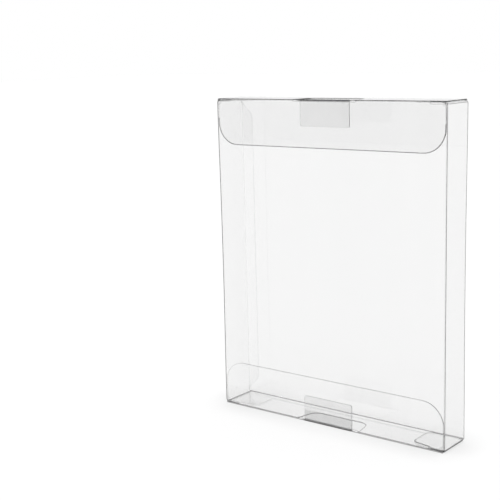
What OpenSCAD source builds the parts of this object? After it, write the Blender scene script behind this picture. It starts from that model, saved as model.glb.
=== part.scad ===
// Clear film protector for a boxed game: one die-cut sheet, creased, folded into a sleeve and glued at a lap.
// Both ends close the same way. The closing panel folds down from the back panel and its tongue tucks in
// behind the front panel. The dust flaps' shoulders catch in the slits at the ends of the tongue's crease, and
// a lock tab on the front panel's edge folds in through a slot and lies behind the tongue.
// Width runs along X, the front faces -Y and the protector stands on Z = 0, with the origin below its middle.

/* [Sleeve] */
// Outside width
box_w = 146; // [100:1:220]
// Outside depth, front panel to back panel
box_d = 22.5; // [20:0.5:40]
// Outside height
box_h = 180; // [100:1:280]
// Width of the glued lap inside the rear left corner
glue_lap = 8; // [4:0.5:12]
// Distance from the sleeve's end at which the glue flap's bevel starts
glue_end = 3; // [2.5:0.5:8]

/* [Film] */
// Film thickness
film = 0.5; // [0.3:0.05:0.6]
// Inside radius of a crease
crease_r = 0.4; // [0.3:0.05:0.6]
// Air between two layers that lie on each other
lap_air = 0.2; // [0.15:0.05:0.3]
// Air between a tongue and the lock tab that stands behind it
tab_air = 0.3; // [0.2:0.05:0.4]

/* [Tongues] */
// Length of a tongue, from the end of the protector
tongue_len = 26; // [18:0.5:34]
// Radius of a tongue's free corners
tongue_r = 12.5; // [4:0.5:16]
// Length of the slit at each end of a tongue's crease
slit_len = 8.5; // [6:0.5:12]

/* [Lock tabs and slots] */
// Width of a lock tab
tab_w = 31.5; // [20:0.5:40]
// Length of a lock tab, from the end of the protector
tab_len = 14.5; // [10:0.5:16]
// Radius of a lock tab's free corners
tab_r = 1; // [1:0.5:3]
// Room for the lock tab's crease between it and the front panel's edge
tab_play = 0.05; // [0.05:0.01:0.1]
// Width of a slot beside the crease
slot_w = 41; // [39:0.5:50]
// Width of a slot at its far edge, before its corners are rounded
slot_far_w = 35.5; // [35:0.5:38]
// Air between the far edge of a slot and the end of a swinging lock tab
slot_air = 0.4; // [0.3:0.1:1]
// Radius of a slot's far corners
slot_r = 4.5; // [2:0.5:5]
// Radius of a slot's corners beside the crease
slot_front_r = 1.5; // [0.5:0.5:3]
// How far a slot reaches up its tongue
slot_rise = 1; // [0.9:0.1:2]

/* [Dust flaps] */
// Length of a dust flap, from the outside of its side panel
dust_len = 21; // [18:0.5:30]
// Width of the shoulder that catches in the slit
shoulder_w = 8.2; // [5:0.2:10]
// Step from the shoulder back to the flap's front edge
shoulder_step = 2; // [1.5:0.1:4]
// How far the front edge falls back towards the free end
dust_taper = 2; // [0:0.5:5]
// Radius of a dust flap's free corners
dust_r = 3.5; // [1:0.5:6]
// Radius where the shoulder steps back
step_r = 0.8; // [0.3:0.1:1.2]

/* [Hidden] */

clear_film = [0.90, 0.94, 0.96, 0.45];
bend_steps = 6;      // straight stretches in a quarter turn of a crease
corner_steps = 12;   // straight stretches in a quarter turn of a cut corner
over = 1;            // how far a cutter reaches past what it cuts
root = 0.4;          // how far a flap's film runs on inside the panel that it folds from

bend_r = crease_r + film;                   // outside radius of a crease
front_y = -box_d / 2;                       // outer face of the front panel
back_y = box_d / 2;                         // outer face of the back panel
side_x = box_w / 2;                         // outer face of a side panel
lap_z = film + lap_air;                     // outer face of the dust flaps, above the closing panel
wrap_z = lap_z + bend_r;                    // where the sleeve's full section starts
flap_w = box_w - 2 * bend_r;                // width of a closing panel: the flat part of the back panel
tongue_y = front_y + film + lap_air;        // face of the tongue that lies on the front panel
tab_y = tongue_y + film + tab_air;          // face of the lock tab that lies on the tongue
pivot_y = front_y + film / 2;               // crease of the lock tab, in the middle of the front panel's film
pivot_z = film / 2;
slit_z = lap_z + film + lap_air;            // lower edge of the tongue above a slit
glue_y = back_y - film;                     // face of the glue flap that is stuck to the back panel
glue_gap = 0.2;                             // clearance that frees the glue flap's bend past its bevels

// The far corner of a lock tab swings through this radius about its crease, and the slot lets it through.
tab_sweep = norm([tab_y + film - pivot_y, tab_len - pivot_z]);
slot_far_y = pivot_y + tab_sweep + slot_air;

// Unit vector from a to b.
function toward(a, b) = (b - a) / norm(b - a);

// Points of an arc that rounds the corner b between a and c with radius r, tangent to both edges.
function round_corner(a, b, c, r, steps) =
    let (
        u = toward(b, a),
        v = toward(b, c),
        half = acos(u * v) / 2,
        centre = b + toward([0, 0], u + v) * r / sin(half),
        from = b + u * r / tan(half) - centre,
        side = sign(u[0] * v[1] - u[1] * v[0]),
        turn = -side * (180 - 2 * half)
    )
    [for (i = [0:steps])
        let (angle = turn * i / steps)
        centre + [
            from[0] * cos(angle) - from[1] * sin(angle),
            from[0] * sin(angle) + from[1] * cos(angle)
        ]
    ];

// Closed outline whose corners are given as [x, y, radius]; a radius of 0 leaves the corner sharp.
function rounded_outline(corners, steps) =
    let (n = len(corners), at = function(i) [corners[i % n][0], corners[i % n][1]])
    [for (i = [0:n - 1])
        each corners[i][2] == 0
            ? [at(i)]
            : round_corner(at(i + n - 1), at(i), at(i + 1), corners[i][2], steps)
    ];

// Prism of an outline drawn in the YZ plane, centred on X.
module along_x(outline, width) {
    rotate([90, 0, 90])
        linear_extrude(height = width, center = true)
            polygon(outline);
}

// Prism of an outline drawn in the XZ plane, from y0 to y1.
module along_y(outline, y0, y1) {
    translate([0, y1, 0])
        rotate([90, 0, 0])
            linear_extrude(height = y1 - y0)
                polygon(outline);
}

// Prism of an outline drawn in the XY plane, from z0 to z1.
module along_z(outline, z0, z1) {
    translate([0, 0, z0])
        linear_extrude(height = z1 - z0)
            polygon(outline);
}

// Places its children at the bottom end as they are drawn, and mirrored at the top end.
module at_both_ends() {
    children();
    at_top_end() children();
}

module at_top_end() {
    translate([0, 0, box_h]) mirror([0, 0, 1]) children();
}

// Front, side and back panels with the glue flap: one strip of film bent at four creases. Its outer line runs
// from the back panel's free edge round to the rear left crease, and its inner line steps in over the lap.
module wrap() {
    outside = rounded_outline([
        [-side_x + bend_r, back_y, 0], [side_x, back_y, bend_r], [side_x, front_y, bend_r],
        [-side_x, front_y, bend_r], [-side_x, glue_y, bend_r]
    ], bend_steps);
    inside = rounded_outline([
        [-side_x + film + glue_lap, back_y - film, 0], [side_x - film, back_y - film, crease_r],
        [side_x - film, front_y + film, crease_r], [-side_x + film, front_y + film, crease_r],
        [-side_x + film, glue_y - film, crease_r], [-side_x + film + glue_lap, glue_y - film, 0]
    ], bend_steps);
    difference() {
        along_z(outside, wrap_z, box_h - wrap_z);
        along_z(inside, wrap_z - over, box_h - wrap_z + over);
        at_both_ends() glue_bevel();
    }
}

// Cuts a glue flap's end at 45 degrees and leaves the back panel's layer whole.
module glue_bevel() {
    near_x = -side_x + bend_r - glue_gap;
    far_x = -side_x + film + glue_lap + over;
    along_y([
        [near_x, wrap_z - over], [far_x, wrap_z - over],
        [far_x, glue_end + far_x - near_x], [near_x, glue_end]
    ], glue_y - film - over, glue_y);
}

// Closing panel and tongue: film that leaves the back panel, crosses the end and turns up behind the front.
module closing_panel() {
    profile = rounded_outline([
        [back_y, wrap_z + root, 0], [back_y, 0, bend_r], [tongue_y, 0, bend_r], [tongue_y, tongue_len, 0],
        [tongue_y + film, tongue_len, 0], [tongue_y + film, film, crease_r],
        [back_y - film, film, crease_r], [back_y - film, wrap_z + root, 0]
    ], bend_steps);
    blank = rounded_outline([
        [-flap_w / 2, -over, 0], [flap_w / 2, -over, 0],
        [flap_w / 2, tongue_len, tongue_r], [-flap_w / 2, tongue_len, tongue_r]
    ], corner_steps);
    difference() {
        intersection() {
            along_x(profile, flap_w);
            along_y(blank, front_y - over, back_y + over);
        }
        slot();
        for (side = [-1, 1]) slit(side);
    }
}

// Slot for the lock tab. It takes the tongue's crease away and widens from its far edge to that crease.
module slot() {
    along_z(rounded_outline([
        [-slot_w / 2, tongue_y - lap_air / 2, slot_front_r],
        [slot_w / 2, tongue_y - lap_air / 2, slot_front_r],
        [slot_far_w / 2, slot_far_y, slot_r], [-slot_far_w / 2, slot_far_y, slot_r]
    ], corner_steps), -over, slot_rise);
}

// Slit along the end of the tongue's crease, open by the dust flap that lies in it.
module slit(side) {
    translate([side * flap_w / 2, tongue_y, (film + slit_z) / 2])
        cube([2 * slit_len, 2 * bend_r, slit_z - film], center = true);
}

// Dust flap of one side: film that turns in from the side panel's flat part and lies on the closing panel. The
// left side panel's flat part is narrower, because the glue flap folds from it.
module dust_flap(side) {
    end_x = side_x - dust_len;
    step_x = side_x - shoulder_w;
    shoulder_y = front_y + bend_r;
    rear_y = (side < 0 ? glue_y : back_y) - bend_r;
    profile = rounded_outline([
        [side_x, wrap_z + root, 0], [side_x, lap_z, bend_r], [end_x, lap_z, 0], [end_x, lap_z + film, 0],
        [side_x - film, lap_z + film, crease_r], [side_x - film, wrap_z + root, 0]
    ], bend_steps);
    blank = rounded_outline([
        [side_x + over, shoulder_y, 0], [side_x + over, rear_y, 0], [end_x, rear_y, dust_r],
        [end_x, shoulder_y + shoulder_step + dust_taper, dust_r / 2],
        [step_x - shoulder_step, shoulder_y + shoulder_step, 0], [step_x, shoulder_y, step_r]
    ], corner_steps);
    mirror([side < 0 ? 1 : 0, 0, 0])
        intersection() {
            along_y(profile, shoulder_y, rear_y);
            along_z(blank, 0, wrap_z + over);
        }
}

// Edge of the front panel below the sleeve's full section, cut away over the lock tab's crease.
module front_edge() {
    difference() {
        translate([-flap_w / 2, front_y, 0])
            cube([flap_w, film, wrap_z + root]);
        translate([-tab_w / 2 - tab_play, front_y - over, -over])
            cube([tab_w + 2 * tab_play, film + 2 * over, over + film + tab_play]);
    }
}

// The folded sheet without its two lock tabs.
module film_sleeve() {
    color(clear_film) {
        wrap();
        at_both_ends() {
            closing_panel();
            front_edge();
            for (side = [-1, 1]) dust_flap(side);
        }
    }
}

// Lock tab of the bottom end, folded in: from its crease it passes below the tongue and stands behind it.
module lock_tab() {
    profile = rounded_outline([
        [pivot_y, 0, 0], [tab_y + film, 0, bend_r], [tab_y + film, tab_len, 0], [tab_y, tab_len, 0],
        [tab_y, film, crease_r], [pivot_y, film, 0]
    ], bend_steps);
    blank = rounded_outline([
        [-tab_w / 2, -over, 0], [tab_w / 2, -over, 0],
        [tab_w / 2, tab_len, tab_r], [-tab_w / 2, tab_len, tab_r]
    ], corner_steps);
    color(clear_film) {
        intersection() {
            along_x(profile, tab_w);
            along_y(blank, front_y - over, tab_y + film + over);
        }
        translate([0, pivot_y, pivot_z])
            rotate([0, 90, 0])
                cylinder(h = tab_w, r = film / 2, center = true, $fn = 24);
    }
}

module top_lock_tab() {
    at_top_end() lock_tab();
}

module bottom_lock_tab() {
    lock_tab();
}

film_sleeve();
top_lock_tab();
bottom_lock_tab();
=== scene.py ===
"""Clear film protector for a boxed game, standing empty: its die-cut sheet, folded from the flat pattern."""

import math

import bpy
import numpy as np
from mathutils import Euler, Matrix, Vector


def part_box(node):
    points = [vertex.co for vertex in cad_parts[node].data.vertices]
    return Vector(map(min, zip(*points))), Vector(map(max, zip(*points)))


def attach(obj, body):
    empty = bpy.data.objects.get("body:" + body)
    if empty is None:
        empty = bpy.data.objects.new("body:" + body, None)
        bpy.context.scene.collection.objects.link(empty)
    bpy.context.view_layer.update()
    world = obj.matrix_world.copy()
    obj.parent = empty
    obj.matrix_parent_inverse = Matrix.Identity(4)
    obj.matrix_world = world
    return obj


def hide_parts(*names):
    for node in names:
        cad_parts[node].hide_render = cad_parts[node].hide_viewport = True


MM = 0.001

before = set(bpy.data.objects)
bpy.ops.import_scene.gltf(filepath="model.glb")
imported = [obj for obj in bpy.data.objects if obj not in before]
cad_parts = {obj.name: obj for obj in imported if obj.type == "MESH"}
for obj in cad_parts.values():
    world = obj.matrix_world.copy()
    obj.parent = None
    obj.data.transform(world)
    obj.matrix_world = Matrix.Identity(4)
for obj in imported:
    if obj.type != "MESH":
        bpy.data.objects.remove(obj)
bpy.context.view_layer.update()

# Sizes of the folded sheet in metres, from the frame
HALF_W, HALF_D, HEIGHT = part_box("film_sleeve")[1]
HALF_TAB, TAB_BACK, TAB_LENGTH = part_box("bottom_lock_tab")[1]

# The film, its creases and the air between its layers
FILM = 0.5 * MM
CREASE_R = 0.4 * MM
MID_R = CREASE_R + FILM / 2
BEND_R = CREASE_R + FILM
LAP_AIR = 0.2 * MM
GLUE_AIR = 0.03 * MM
SLOT_AIR = 0.4 * MM
TAB_PLAY = 0.05 * MM

# Levels of the folded layers: z above the bottom end, y from the front
DUST_Z = FILM + LAP_AIR
WRAP_Z = DUST_Z + BEND_R
TONGUE_Y = -HALF_D + FILM + LAP_AIR
TAB_Y = TAB_BACK - FILM
PIVOT_Y = -HALF_D + FILM / 2

# Outlines of the cut sheet
GLUE_LAP = 8 * MM
GLUE_END = 3 * MM
TONGUE_LENGTH = 26 * MM
TONGUE_R = 12.5 * MM
SLIT_LENGTH = 8.5 * MM
HALF_SLOT = 20.5 * MM
HALF_SLOT_FAR = 17.75 * MM
SLOT_R = 4.5 * MM
SLOT_FRONT_R = 1.5 * MM
SLOT_RISE = 1 * MM
TAB_R = 1 * MM
DUST_LENGTH = 21 * MM
SHOULDER_W = 8.2 * MM
SHOULDER_STEP = 2 * MM
DUST_TAPER = 2 * MM
DUST_R = 3.5 * MM

# The panels' slackness: how far they draw in at mid-height, and the height of their slow waves
PANEL_BOW = 0.35 * MM
PANEL_WAVE = 0.08 * MM
SIDE_BOW = 0.3 * MM
SIDE_WAVE = 0.05 * MM

# How finely the surfaces are divided: the longest steps, and the numbers of steps in curves and short runs
GRID_STEP = 3 * MM
TAB_STEP = 0.5 * MM
BEND_STEPS = 8
SLOT_R_STEPS = 12
SLOT_SIDE_STEPS = 5
TONGUE_R_STEPS = 16
DUST_R_STEPS = 12
TAB_R_STEPS = 8
TAB_UNDER_STEPS = 3
TAB_ACROSS_STEPS = 12

# Points that are nearer to each other than this become one, a level is met within a hair, and faces that meet
# at a sharper angle than this keep a hard edge
SAME_POINT = 0.002 * MM
HAIR = 0.001 * MM
SHARP_ANGLE = 50

# How grey the film looks in the front and back panels, the side panels and the lock tabs, and how dark the
# painted shade is on the lower tab's root, where it stands in for the shadow seen through the slot. Up that
# tab, the painted shade fades between two heights.
PANEL_HAZE = 0.17
SIDE_HAZE = 0.24
TAB_HAZE = 0.29
ROOT_PAINTED_SHADE = 0.95
ROOT_SHADE_FADE = (5.4 * MM, 7 * MM)

# How plainly the grey along each cut edge is seen, from 0 to 1, partly frosting and partly painted shade for
# the dark line at the cut: the wrap with its glued lap, the front panel's ends, the closing panels with their
# slots, the straight sides of the tongues, the lock tabs
WRAP_EDGE = 0.04
FRONT_EDGE = 0.4
CLOSING_EDGE = 0.48
TONGUE_EDGE = 0.16
TAB_EDGE = 0.04

# How plainly the long creases are seen, partly frosting and partly painted shade: rear right, front right,
# front left, rear left
LONG_CREASES = (0.95, 0.12, 0.7, 0.04)

# What is left of the film's thickness at the glued rim
GLUE_THIN = 0.1

# Millimetres from a cut between which its grey band fades, and a distance far beyond them
EDGE_BAND = (0.25, 0.5)
OUTSIDE_BAND = 9.0

# Streaks to the metre across X and Y and up Z: they are about 9 mm apart and 330 mm long
STREAKS = (110, 110, 3)

# Heights between which the film starts to dim the light that falls through it
DIMMING = (1.5 * MM, 3 * MM)

# Stage: how far the floor reaches and how far it lies below the film, the lamp's strength and its width in
# degrees, and the strength of the studio around
FLOOR_REACH = 6.0
FLOOR_DROP = 0.1 * MM
LAMP_STRENGTH = 2.89
LAMP_WIDTH = 12
STUDIO_STRENGTH = 0.3

# Camera, from the photograph's vanishing points: place, angles in degrees, lens and sensor in millimetres
CAMERA_AT = Vector((321.0, -475.6, 207.8)) * MM
CAMERA_TURN = 38.74
CAMERA_DOWN = 10.77
CAMERA_ROLL = -1.50
CAMERA_LENS = 76.6
SENSOR = 36.0


def make_camera():
    """The photograph's point of view: turned to the left, looking slightly down."""
    data = bpy.data.cameras.new("camera")
    data.lens = CAMERA_LENS
    data.sensor_width = SENSOR
    camera = bpy.data.objects.new("camera", data)
    bpy.context.scene.collection.objects.link(camera)
    camera.location = CAMERA_AT
    turned = Euler((math.radians(90 - CAMERA_DOWN), 0, math.radians(CAMERA_TURN)), "XYZ").to_matrix()
    rolled = Euler((0, 0, math.radians(CAMERA_ROLL)), "XYZ").to_matrix()
    camera.rotation_euler = (turned @ rolled).to_euler()
    bpy.context.scene.camera = camera


def steps_between(a, b, step):
    """Evenly spaced values from a to b, no further apart than step."""
    return np.linspace(a, b, max(2, math.ceil(abs(b - a) / step) + 1))


def through(stops, step):
    """Values from the first stop to the last that include every stop."""
    runs = [steps_between(a, b, step)[:-1] for a, b in zip(stops[:-1], stops[1:])]
    return np.concatenate(runs + [stops[-1:]])


def quarter(steps):
    """Angles from nothing to a quarter turn in even steps."""
    return np.linspace(0, math.pi / 2, steps + 1)


def corner(past, radius):
    """What a round corner leaves of its radius at distances past the start of its circle: the root of the
    radius squared less the distance squared."""
    return np.sqrt(np.maximum(radius**2 - np.maximum(past, 0) ** 2, 0))


def grid(x, y, z):
    """Points or directions on one grid, from coordinates that are each spread over it."""
    return np.stack(np.broadcast_arrays(x, y, z), -1)


def fold_line(corners, lengths, shows):
    """Middle line of film that runs along a polyline and bends at each inner corner on a quarter circle of
    radius MID_R. lengths gives the stations on each straight run as distances from its own start, after the
    bend, and shows gives how plainly each bend's crease is seen. Returns points, directions turned a
    quarter left of the run, and the crease: the fourth power of the sine of twice the angle turned, so that
    it is narrow and deepest in mid bend."""
    corners = [np.array(c, float) for c in corners]
    points, sides, creases = [], [], []
    count = len(corners) - 1
    for i in range(count):
        along = corners[i + 1] - corners[i]
        along /= np.linalg.norm(along)
        left = np.array([-along[1], along[0]])
        start = corners[i] + along * (MID_R if i else 0)
        run = np.asarray(lengths[i])
        points.append(start + run[:, None] * along)
        sides.append(np.repeat(left[None], len(run), 0))
        creases.append(np.zeros(len(run)))
        if i == count - 1:
            break
        after = corners[i + 2] - corners[i + 1]
        after /= np.linalg.norm(after)
        turn = np.sign(along[0] * after[1] - along[1] * after[0])
        centre = corners[i + 1] - along * MID_R + after * MID_R
        angle = quarter(BEND_STEPS)[1:-1, None]
        spoke = -turn * left * np.cos(angle) + along * np.sin(angle)
        points.append(centre + MID_R * spoke)
        sides.append(-turn * spoke)
        creases.append(shows[i] * np.sin(2 * angle[:, 0]) ** 4)
    return np.concatenate(points), np.concatenate(sides), np.concatenate(creases)


def part(points, normals, crease, edge, keep=None, haze=PANEL_HAZE, thick=1.0):
    """One stretch of the sheet's middle surface: a grid of points with their normals, the crease and the
    share of the film's thickness at each point, and for each cell how plainly its cut edge is seen and how
    grey the film looks, painted shade included."""
    rows, columns = points.shape[:2]
    first = np.arange(rows - 1)[:, None] * columns + np.arange(columns - 1)
    quads = np.stack([first, first + 1, first + columns + 1, first + columns], -1)
    kept = np.ones(quads.shape[:2], bool) if keep is None else keep
    quads = quads[kept]
    flat_points = points.reshape(-1, 3)
    flat_normals = normals.reshape(-1, 3)
    a, b, c = (flat_points[quads[:, k]] for k in (0, 1, 2))
    facing = np.einsum("ij,ij->i", np.cross(b - a, c - b), flat_normals[quads[:, 0]])
    if facing.sum() < 0:
        quads = quads[:, ::-1]
    return {
        "points": flat_points,
        "normals": flat_normals,
        "quads": quads,
        "crease": np.broadcast_to(crease, (rows, columns)).reshape(-1),
        "thick": np.broadcast_to(thick, (rows, columns)).reshape(-1),
        "edge": np.broadcast_to(edge, kept.shape)[kept],
        "haze": np.broadcast_to(haze, kept.shape)[kept],
    }


def reflected(piece, flip, shift=(0, 0, 0)):
    """The same stretch mirrored: each coordinate times its flip, plus its shift."""
    flip = np.array(flip)
    return dict(piece, points=piece["points"] * flip + shift, normals=piece["normals"] * flip,
                quads=piece["quads"][:, ::-1])


def to_top(piece):
    """The same stretch at the other end: z taken from the height."""
    return reflected(piece, (1, 1, -1), (0, 0, HEIGHT))


def to_left(piece):
    """The same stretch on the left: x with its sign changed."""
    return reflected(piece, (-1, 1, 1))


def panel_bow(points):
    """Film never lies quite flat. The four panels draw in by the squared sine of the height, which fades to
    nothing at the creased ends. The front and back draw in further by the cosine across their width, with
    slow waves: one sine across times one up, and six tenths of a slanting sine. The sides have one sine up
    the height. The waves are 80 to 210 mm long."""
    x, y, z = points.T
    rise = np.sin(math.pi * z / HEIGHT) ** 2
    across = np.cos(math.pi * x / (2 * HALF_W))
    crossed = np.sin(x / (21 * MM) + 0.7) * np.sin(z / (33 * MM))
    slanting = np.sin(x / (13 * MM) - z / (27 * MM))
    bow = rise * (PANEL_BOW + across * (PANEL_BOW + PANEL_WAVE * (crossed + 0.6 * slanting)))
    side = rise * (SIDE_BOW + SIDE_WAVE * np.sin(z / (19 * MM)))
    moved = points.copy()
    moved[:, 1] -= np.clip(y / HALF_D, -1, 1) * bow
    moved[:, 0] -= np.clip(x / HALF_W, -1, 1) * side
    return moved


def rim_distance(points, rim):
    """Distance in millimetres from each point to the nearest of the rim's segments, each measured to the
    foot of the perpendicular, held between the segment's two ends."""
    start = points[rim[:, 0]]
    along = points[rim[:, 1]] - start
    reach = points[:, None] - start
    share = np.clip(np.einsum("ijk,jk->ij", reach, along) / (along**2).sum(1), 0, 1)
    return np.linalg.norm(reach - share[..., None] * along, axis=-1).min(1) / MM


def film_object(name, parts):
    """Closes the middle surface into film: each point goes half the film's thickness both ways along its
    normal, times its share, and every free edge gets a rim, which is the cut edge. Stations that two parts
    share become one."""
    offset = np.cumsum([0] + [len(p["points"]) for p in parts])
    points, normals, crease, thick, edge, haze = (
        np.concatenate([p[key] for p in parts])
        for key in ("points", "normals", "crease", "thick", "edge", "haze"))
    quads = np.concatenate([p["quads"] + o for p, o in zip(parts, offset)])
    owner = np.repeat(np.arange(len(parts)), [len(p["quads"]) for p in parts])
    first, back = np.unique(np.round(points / SAME_POINT).astype(np.int64), axis=0,
                            return_index=True, return_inverse=True)[1:]
    used, quads = np.unique(back.reshape(-1)[quads], return_inverse=True)
    quads = quads.reshape(-1, 4)
    points, normals, crease, thick = (values[first][used] for values in (points, normals, crease, thick))
    half = normals / np.linalg.norm(normals, axis=1)[:, None] * thick[:, None] * FILM / 2
    n = len(points)

    # A cell's side is free where no neighbour runs along it the other way
    ends = np.stack([quads, np.roll(quads, -1, 1)], -1).reshape(-1, 2)
    forward = ends[:, 0].astype(np.int64) * n + ends[:, 1]
    backward = ends[:, 1].astype(np.int64) * n + ends[:, 0]
    free = np.flatnonzero(~np.isin(forward, backward))
    rim = ends[free]

    # Each part's points are measured to its own rim, because another layer's may lie close by
    rim_mm = np.full(n, OUTSIDE_BAND)
    for k in range(len(parts)):
        of_part = np.unique(quads[owner == k])
        local = np.searchsorted(of_part, rim[owner[free // 4] == k])
        if len(local):
            rim_mm[of_part] = np.minimum(rim_mm[of_part], rim_distance(points[of_part], local))

    # Where panels meet closing panels and dust flaps, whose normals point the other way, their shared edge is
    # free on both. It gets one rim.
    once = np.sort(np.unique(forward[free], return_index=True)[1])
    free, rim = free[once], rim[once]
    rims = np.stack([rim[:, 1], rim[:, 0], rim[:, 0] + n, rim[:, 1] + n], -1)

    points = panel_bow(points)
    vertices = np.concatenate([points + half, points - half])
    faces = np.concatenate([quads, quads[:, ::-1] + n, rims])
    mesh = bpy.data.meshes.new(name)
    mesh.from_pydata(vertices.tolist(), [], faces.tolist())
    mesh.polygons.foreach_set("use_smooth", np.arange(len(faces)) < 2 * len(quads))
    for key, values in {"edge_show": edge, "haze": haze}.items():
        by_face = np.concatenate([values, values, values[free // 4]])
        mesh.attributes.new(key, "FLOAT", "CORNER").data.foreach_set("value", np.repeat(by_face, 4))
    for key, values in {"crease": crease, "rim_mm": rim_mm}.items():
        by_point = np.concatenate([values, values])
        mesh.attributes.new(key, "FLOAT", "POINT").data.foreach_set("value", by_point)
    mesh.validate()
    mesh.update()
    mesh.set_sharp_from_angle(angle=math.radians(SHARP_ANGLE))
    piece = bpy.data.objects.new(name, mesh)
    bpy.context.scene.collection.objects.link(piece)
    return piece


# Stations that panels share with the flaps that fold from them
FLAT_W = HALF_W - BEND_R
FLAT_D = HALF_D - BEND_R
SLIT_X = FLAT_W - SLIT_LENGTH
NOTCH_X = HALF_TAB + TAB_PLAY
BACK_STOPS = np.array([-FLAT_W, -SLIT_X, -HALF_SLOT_FAR, HALF_SLOT_FAR, SLIT_X, FLAT_W])
BACK_X = through(BACK_STOPS, GRID_STEP)
FRONT_X = through(np.array([-FLAT_W, -NOTCH_X, NOTCH_X, FLAT_W]), GRID_STEP)
RIGHT_Y = steps_between(-FLAT_D, FLAT_D, GRID_STEP)
GLUE_MID_Y = HALF_D - FILM * 1.5 - GLUE_AIR
LEFT_Y = steps_between(-FLAT_D, GLUE_MID_Y - MID_R, GRID_STEP)


def wrap_part():
    """Back, right, front and left panels and the glue flap: the section's middle line carried up the
    height. Over the glue flap the ends of the height draw in at 45 degrees, and the film thins evenly
    towards its rim, so that its cut edge hardly shows."""
    mid_x, mid_y = HALF_W - FILM / 2, HALF_D - FILM / 2
    glue_x = steps_between(0, GLUE_LAP - BEND_R + FILM, GRID_STEP)
    line, side, crease = fold_line(
        [(-FLAT_W, mid_y), (mid_x, mid_y), (mid_x, -mid_y), (-mid_x, -mid_y), (-mid_x, GLUE_MID_Y),
         (-mid_x + GLUE_LAP + FILM, GLUE_MID_Y)],
        [BACK_X + FLAT_W, FLAT_D - RIGHT_Y[::-1], FLAT_W - FRONT_X[::-1], LEFT_Y + FLAT_D, glue_x],
        LONG_CREASES,
    )
    count = len(glue_x)
    inset = np.zeros(len(line))
    inset[-count:] = GLUE_END - WRAP_Z + glue_x
    rise = steps_between(0, 1, GRID_STEP / HEIGHT)[:, None]
    low = WRAP_Z + inset
    z = low + rise * (HEIGHT - 2 * low)
    thick = np.ones(z.shape)
    thick[:, -count:] = 1 - (1 - GLUE_THIN) * glue_x / glue_x[-1]
    thick[0, 1 - count:] = thick[-1, 1 - count:] = GLUE_THIN
    at_side = np.abs(line[1:, 0] + line[:-1, 0]) > 2 * (HALF_W - FILM)
    haze = np.where(at_side, SIDE_HAZE, PANEL_HAZE)
    haze[-count:] = 0.0
    points = grid(line[:, 0], line[:, 1], z)
    normals = grid(side[:, 0], side[:, 1], np.zeros_like(z))
    return part(points, normals, crease, WRAP_EDGE, haze=haze, thick=thick)


def front_edge_part():
    """The front panel's last stretch down to its cut edge, open over the lock tab's crease."""
    z = np.array([WRAP_Z, FILM + TAB_PLAY, 0])[:, None]
    points = grid(FRONT_X, PIVOT_Y, z)
    normals = np.broadcast_to([0.0, -1.0, 0.0], points.shape)
    middle = np.abs(FRONT_X[:-1] + FRONT_X[1:]) / 2 < NOTCH_X
    keep = np.array([np.ones(len(middle), bool), ~middle])
    return part(points, normals, 0.0, FRONT_EDGE, keep)


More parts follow.
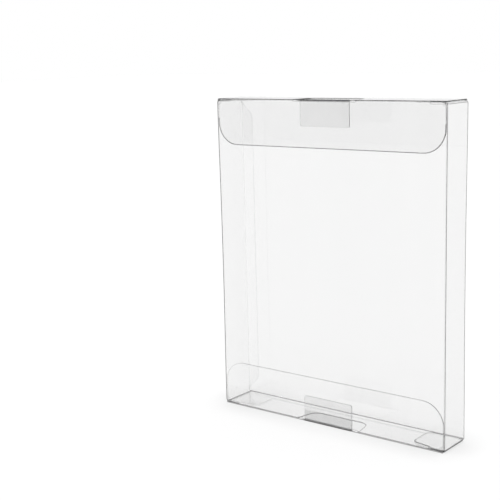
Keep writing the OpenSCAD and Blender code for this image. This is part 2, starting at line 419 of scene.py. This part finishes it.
def closing_part(back_show, front_show, edge_show, tongue_haze):
    """Closing panel and tongue: the line back panel, end, tongue carried across X. Each station's half
    width h, slit line and half slot are functions of the distance along the film: h follows the tongue's
    corner circles, the slit line keeps within nine tenths of h, and the half slot follows the slot's corner
    circles and slanted sides. back_show and front_show are how plainly its two creases are seen, edge_show
    is the same for the tongue's round end, and tongue_haze is how grey the tongue looks."""
    back_mid, tongue_mid = HALF_D - FILM / 2, TONGUE_Y + FILM / 2
    # The slot's far edge clears the circle that the corner of the swinging lock tab describes
    far_y = PIVOT_Y + math.hypot(TAB_Y + FILM - PIVOT_Y, TAB_LENGTH - FILM / 2) + SLOT_AIR
    start_y = back_mid - MID_R
    slot_round = far_y - SLOT_R * (1 - np.cos(quarter(SLOT_R_STEPS)))
    slot_side = np.linspace(far_y - SLOT_R, tongue_mid + MID_R, SLOT_SIDE_STEPS + 1)[1:]
    panel = start_y - np.concatenate([steps_between(start_y, far_y, GRID_STEP)[:-1], slot_round, slot_side])
    rise0 = FILM / 2 + MID_R
    slit_z = DUST_Z + FILM + LAP_AIR
    straight = steps_between(slit_z, TONGUE_LENGTH - TONGUE_R, GRID_STEP)
    arc = TONGUE_LENGTH - TONGUE_R + TONGUE_R * np.sin(quarter(TONGUE_R_STEPS))[1:]
    tongue = np.concatenate([[0], np.concatenate([[SLOT_RISE], straight, arc]) - rise0])
    line, side, crease = fold_line(
        [(back_mid, WRAP_Z), (back_mid, FILM / 2), (tongue_mid, FILM / 2), (tongue_mid, TONGUE_LENGTH)],
        [np.array([0, WRAP_Z - rise0]), panel, tongue],
        [back_show, front_show],
    )
    y, z = line.T

    tongue_h = FLAT_W - TONGUE_R + corner(z - (TONGUE_LENGTH - TONGUE_R), TONGUE_R)
    h = np.where(y < tongue_mid + HAIR, tongue_h, FLAT_W)
    slit = np.minimum(SLIT_X, h * 0.9)
    into = np.clip((far_y - y) / SLOT_R, 0, 1)
    slope = (HALF_SLOT - HALF_SLOT_FAR) / (far_y - TONGUE_Y)
    half_slot = HALF_SLOT_FAR - SLOT_R + SLOT_R * np.sqrt(1 - (1 - into) ** 2) + slope * (far_y - y)
    half_slot = np.where(y > far_y, HALF_SLOT_FAR - SLOT_R, half_slot)
    near = np.clip((y - TONGUE_Y) / SLOT_FRONT_R, 0, 1)
    half_slot = half_slot - SLOT_FRONT_R * (1 - np.sqrt(1 - (1 - near) ** 2)) * (y < far_y)

    # The back panel's stations go over to the closing panel's within 2 mm of the crease
    blend = np.clip((start_y - y) / (2 * MM), 0, 1)[:, None]
    stops = BACK_STOPS * (1 - blend) + np.stack([-h, -slit, -half_slot, half_slot, slit, h], -1) * blend
    x = np.stack([np.interp(BACK_X, BACK_STOPS, row) for row in stops])

    between = np.abs(BACK_X[:-1] + BACK_X[1:]) / 2
    row_y = (y[:-1] + y[1:]) / 2
    row_z = (z[:-1] + z[1:]) / 2
    in_slot = (row_y < far_y) & (row_z < SLOT_RISE)
    # The slit opens in the crease, a fifth of its radius up
    slit_low = FILM / 2 + MID_R * 0.2
    in_slit = (row_y < tongue_mid + MID_R) & (row_z > slit_low) & (row_z < slit_z)
    keep = ~(in_slot[:, None] & (between < HALF_SLOT_FAR)) & ~(in_slit[:, None] & (between > SLIT_X))
    on_tongue = row_y < tongue_mid + HAIR
    # The round end's look starts a little before its corner circles
    round_z = TONGUE_LENGTH - 1.1 * TONGUE_R
    tongue_edge = np.where(row_z > round_z, edge_show, TONGUE_EDGE)
    edge = np.where(on_tongue, tongue_edge, CLOSING_EDGE)
    haze = np.where(on_tongue, tongue_haze, 0.0)
    points = grid(x, y[:, None], z[:, None])
    normals = grid(np.zeros_like(x), -side[:, :1], -side[:, 1:])
    return part(points, normals, crease[:, None], edge[:, None], keep, haze[:, None])


def dust_part(stations, show, film_share=1.0):
    """Right dust flap: the line side panel, end, free edge carried across Y between the flap's front
    outline, with its shoulder, and its rear outline. stations are the side panel's own across Y, and show
    is how plainly its crease and cut edge are seen. Over the crease, the film goes evenly to film_share of
    its thickness, because a thin cut edge hardly shows."""
    mid_x = HALF_W - FILM / 2
    flat_start = mid_x - MID_R
    end_x = HALF_W - DUST_LENGTH
    step_x = HALF_W - SHOULDER_W
    stops = np.array([flat_start, step_x, step_x - SHOULDER_STEP, end_x + DUST_R])
    rounding = end_x + DUST_R - DUST_R * np.sin(quarter(DUST_R_STEPS))[1:]
    x_run = np.concatenate([-through(-stops, GRID_STEP), rounding])
    line, side, crease = fold_line(
        [(mid_x, WRAP_Z), (mid_x, DUST_Z + FILM / 2), (end_x, DUST_Z + FILM / 2)],
        [np.array([0.0]), flat_start - x_run],
        [show],
    )
    x, z = line.T
    inner = corner(end_x + DUST_R - x, DUST_R)
    rear = stations[-1] - (DUST_R - inner)
    front = np.interp(-x, [-step_x, SHOULDER_STEP - step_x, -end_x],
                      [-FLAT_D, -FLAT_D + SHOULDER_STEP, -FLAT_D + SHOULDER_STEP + DUST_TAPER])
    front = front + (DUST_R - inner) / 2
    share = (stations - stations[0]) / (stations[-1] - stations[0])
    y = front[:, None] + share * (rear - front)[:, None]
    thick = np.interp(np.arange(len(x)), [0, BEND_STEPS], [1, film_share])
    points = grid(x[:, None], y, z[:, None])
    normals = grid(-side[:, :1], np.zeros_like(y), -side[:, 1:])
    return part(points, normals, crease[:, None], show, haze=0.0, thick=thick[:, None])


def tab_part(root_painted_shade):
    """Lock tab folded in: the line crease, below the tongue, up behind it, carried across X with round
    corners. Its crease is seen in the bend and, on a bell curve, where it hinges on the front panel.
    root_painted_shade is how dark the painted shade on its root is."""
    mid_y = TAB_Y + FILM / 2
    under = np.linspace(0, mid_y - MID_R - PIVOT_Y + FILM / 2, TAB_UNDER_STEPS + 1)
    arc = TAB_LENGTH - TAB_R + TAB_R * np.sin(quarter(TAB_R_STEPS))[1:]
    rise0 = FILM / 2 + MID_R
    up = np.concatenate([steps_between(rise0, TAB_LENGTH - TAB_R, TAB_STEP), arc]) - rise0
    line, side, crease = fold_line(
        [(PIVOT_Y - FILM / 2, FILM / 2), (mid_y, FILM / 2), (mid_y, TAB_LENGTH)],
        [under, up],
        [1.0],
    )
    y, z = line.T
    h = HALF_TAB - TAB_R + corner(z - TAB_LENGTH + TAB_R, TAB_R)
    x = h[:, None] * np.linspace(-1, 1, TAB_ACROSS_STEPS + 1)
    bent = np.maximum(crease, np.exp(-((y - PIVOT_Y) / FILM) ** 2) * (z < FILM))
    # Painted shade on the root of the lower tab, for the shadow seen through the slot, fading up into the
    # tab's grey
    haze = np.interp((z[:-1] + z[1:]) / 2, ROOT_SHADE_FADE, [root_painted_shade, TAB_HAZE])
    points = grid(x, y[:, None], z[:, None])
    normals = grid(np.zeros_like(x), side[:, :1], side[:, 1:])
    return part(points, normals, bent[:, None], TAB_EDGE, haze=haze[:, None])


def linear(code):
    """Colour from its sRGB hex code, turned linear: dark values divided by 12.92, others raised to 2.4."""
    channels = np.array([int(code[i:i + 2], 16) for i in (0, 2, 4)]) / 255
    channels = np.where(channels <= 0.04045, channels / 12.92, ((channels + 0.055) / 1.055) ** 2.4)
    return (*channels.tolist(), 1.0)


def node_adder(tree):
    """Empties a node tree and gives the function that adds one node to it."""
    tree.nodes.clear()

    def add(kind, settings=(), inputs=()):
        """Adds a node with its settings and inputs; an input given as a socket is linked."""
        node = tree.nodes.new(kind)
        for key, value in dict(settings).items():
            setattr(node, key, value)
        for key, value in dict(inputs).items():
            if isinstance(value, bpy.types.NodeSocket):
                tree.links.new(value, node.inputs[key])
            else:
                node.inputs[key].default_value = value
        return node

    return add


def new_material(name):
    """An empty material of nodes and the function that adds one to it."""
    material = bpy.data.materials.new(name)
    material.use_nodes = True
    return material, node_adder(material.node_tree)


def clear_film_material():
    """Die-cut PET film: it bends light like glass, is slightly hazy grey, differently from panel to panel,
    with painted shade on the lower tab's root, and turns grey at its creases and within half a millimetre of
    each
    cut: partly the frosting of scored film, partly painted shade for the dark lines that the light draws
    there."""
    material, add = new_material("clear_pet_film")
    place = add("ShaderNodeTexCoord")

    # Extrusion streaks run up the height and vary the film's grey
    stretched = add("ShaderNodeMapping", inputs={"Vector": place.outputs["Object"], "Scale": STREAKS})
    streaks = add("ShaderNodeTexNoise", inputs={
        "Vector": stretched.outputs["Vector"], "Scale": 1.0, "Detail": 2.0})
    streak_share = add("ShaderNodeMapRange", inputs={
        "Value": streaks.outputs["Fac"], "To Min": -0.02, "To Max": 0.02})
    # How grey the film is, with the painted shade on the lower tab's root
    haze = add("ShaderNodeAttribute", {"attribute_name": "haze"})
    grey_share = add("ShaderNodeMath", {"operation": "ADD"}, {
        0: haze.outputs["Fac"], 1: streak_share.outputs["Result"]})
    tint = add("ShaderNodeMix", {"data_type": "RGBA"}, {
        "Factor": grey_share.outputs["Value"], "A": linear("FFFFFF"), "B": linear("D8D8D8")})
    clear = add("ShaderNodeBsdfPrincipled", inputs={
        "Base Color": tint.outputs["Result"], "Roughness": 0.02, "IOR": 1.575, "Transmission Weight": 1.0})

    # Grey where the film is creased or near a cut: partly frosting, partly painted shade for the dark lines
    # there
    frost_and_shade = add("ShaderNodeBsdfPrincipled", inputs={
        "Base Color": linear("4E4E4E"), "Roughness": 0.45, "IOR": 1.5, "Transmission Weight": 0.2})
    rim = add("ShaderNodeAttribute", {"attribute_name": "rim_mm"})
    near_cut = add("ShaderNodeMapRange", inputs={
        "Value": rim.outputs["Fac"], "From Min": EDGE_BAND[0], "From Max": EDGE_BAND[1],
        "To Min": 1.0, "To Max": 0.0})
    show = add("ShaderNodeAttribute", {"attribute_name": "edge_show"})
    cut = add("ShaderNodeMath", {"operation": "MULTIPLY"}, {
        0: near_cut.outputs["Result"], 1: show.outputs["Fac"]})
    crease = add("ShaderNodeAttribute", {"attribute_name": "crease"})
    mask = add("ShaderNodeMath", {"operation": "MAXIMUM"}, {
        0: cut.outputs["Value"], 1: crease.outputs["Fac"]})
    surface = add("ShaderNodeMixShader", inputs={
        0: mask.outputs["Value"], 1: clear.outputs["BSDF"], 2: frost_and_shade.outputs["BSDF"]})

    # Light on its way to the floor passes straight through, less what each face turns back. The film that
    # lies on the floor dims nothing, because what it turns back comes down again.
    axes = add("ShaderNodeSeparateXYZ", inputs={"Vector": place.outputs["Object"]})
    raised = add("ShaderNodeMapRange", inputs={
        "Value": axes.outputs["Z"], "From Min": DIMMING[0], "From Max": DIMMING[1]})
    dimmed = add("ShaderNodeMix", {"data_type": "RGBA"}, {
        "Factor": raised.outputs["Result"], "A": linear("FFFFFF"), "B": linear("F6F6F6")})
    passing = add("ShaderNodeBsdfTransparent", inputs={"Color": dimmed.outputs["Result"]})
    light = add("ShaderNodeLightPath")
    indirect = add("ShaderNodeMath", {"operation": "MAXIMUM"}, {
        0: light.outputs["Is Shadow Ray"], 1: light.outputs["Is Diffuse Ray"]})
    either = add("ShaderNodeMixShader", inputs={
        0: indirect.outputs["Value"], 1: surface.outputs["Shader"], 2: passing.outputs["BSDF"]})
    add("ShaderNodeOutputMaterial", inputs={"Surface": either.outputs["Shader"]})
    return material


def floor_material():
    """Matt white board: it takes the soft shadow and shines hardly at all."""
    material, add = new_material("matt_white_board")
    board = add("ShaderNodeBsdfPrincipled", inputs={
        "Base Color": linear("ECECEC"), "Roughness": 0.9, "Specular IOR Level": 0.1})
    add("ShaderNodeOutputMaterial", inputs={"Surface": board.outputs["BSDF"]})
    return material


def build_film():
    """The folded sheet and its two lock tabs, each on its own body."""
    film = clear_film_material()
    lower_end = [
        front_edge_part(),
        closing_part(back_show=0.0, front_show=0.24, edge_show=0.08, tongue_haze=0.0),
        dust_part(RIGHT_Y, show=0.5),
        to_left(dust_part(LEFT_Y, show=0.0, film_share=0.3)),
    ]
    upper_end = [
        front_edge_part(),
        closing_part(back_show=0.4, front_show=0.24, edge_show=0.64, tongue_haze=0.23),
        dust_part(RIGHT_Y, show=0.05, film_share=0.8),
        to_left(dust_part(LEFT_Y, show=0.3)),
    ]
    sleeve = film_object("folded_film", [wrap_part()] + lower_end + [to_top(p) for p in upper_end])
    # The lower tab gets painted shade on its root
    lower = film_object("bottom_tab_film", [tab_part(ROOT_PAINTED_SHADE)])
    upper = film_object("top_tab_film", [to_top(tab_part(TAB_HAZE))])
    for piece, body, node in (
        (sleeve, "sleeve", "film_sleeve"),
        (lower, "bottom_tab", "bottom_lock_tab"),
        (upper, "top_tab", "top_lock_tab"),
    ):
        piece.data.materials.append(film)
        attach(piece, body)
        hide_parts(node)


def build_stage():
    """White floor, a broad soft lamp overhead and an even studio around, which the camera sees as white."""
    mesh = bpy.data.meshes.new("floor")
    square = [(x * FLOOR_REACH, y * FLOOR_REACH, 0) for x, y in ((-1, -1), (1, -1), (1, 1), (-1, 1))]
    mesh.from_pydata(square, [], [(0, 1, 2, 3)])
    mesh.materials.append(floor_material())
    floor = bpy.data.objects.new("floor", mesh)
    floor.location.z = -FLOOR_DROP
    bpy.context.scene.collection.objects.link(floor)

    lamp = bpy.data.lights.new("overhead_softbox", "SUN")
    lamp.energy = LAMP_STRENGTH
    lamp.angle = math.radians(LAMP_WIDTH)
    overhead = bpy.data.objects.new("overhead_softbox", lamp)
    bpy.context.scene.collection.objects.link(overhead)

    world = bpy.data.worlds.new("studio")
    bpy.context.scene.world = world
    world.use_nodes = True
    add = node_adder(world.node_tree)
    studio = add("ShaderNodeBackground", inputs={"Color": linear("FFFFFF"), "Strength": STUDIO_STRENGTH})
    white = add("ShaderNodeBackground", inputs={"Color": linear("FFFFFF"), "Strength": 1.0})
    light = add("ShaderNodeLightPath")
    seen = add("ShaderNodeMath", {"operation": "MAXIMUM"}, {
        0: light.outputs["Is Camera Ray"], 1: light.outputs["Is Transmission Ray"]})
    share = add("ShaderNodeMath", {"operation": "MAXIMUM"}, {
        0: seen.outputs["Value"], 1: light.outputs["Is Glossy Ray"]})
    both = add("ShaderNodeMixShader", inputs={
        0: share.outputs["Value"], 1: studio.outputs["Background"], 2: white.outputs["Background"]})
    add("ShaderNodeOutputWorld", inputs={"Surface": both.outputs["Shader"]})


make_camera()
build_film()
build_stage()
bpy.context.scene.view_settings.view_transform = "Standard"
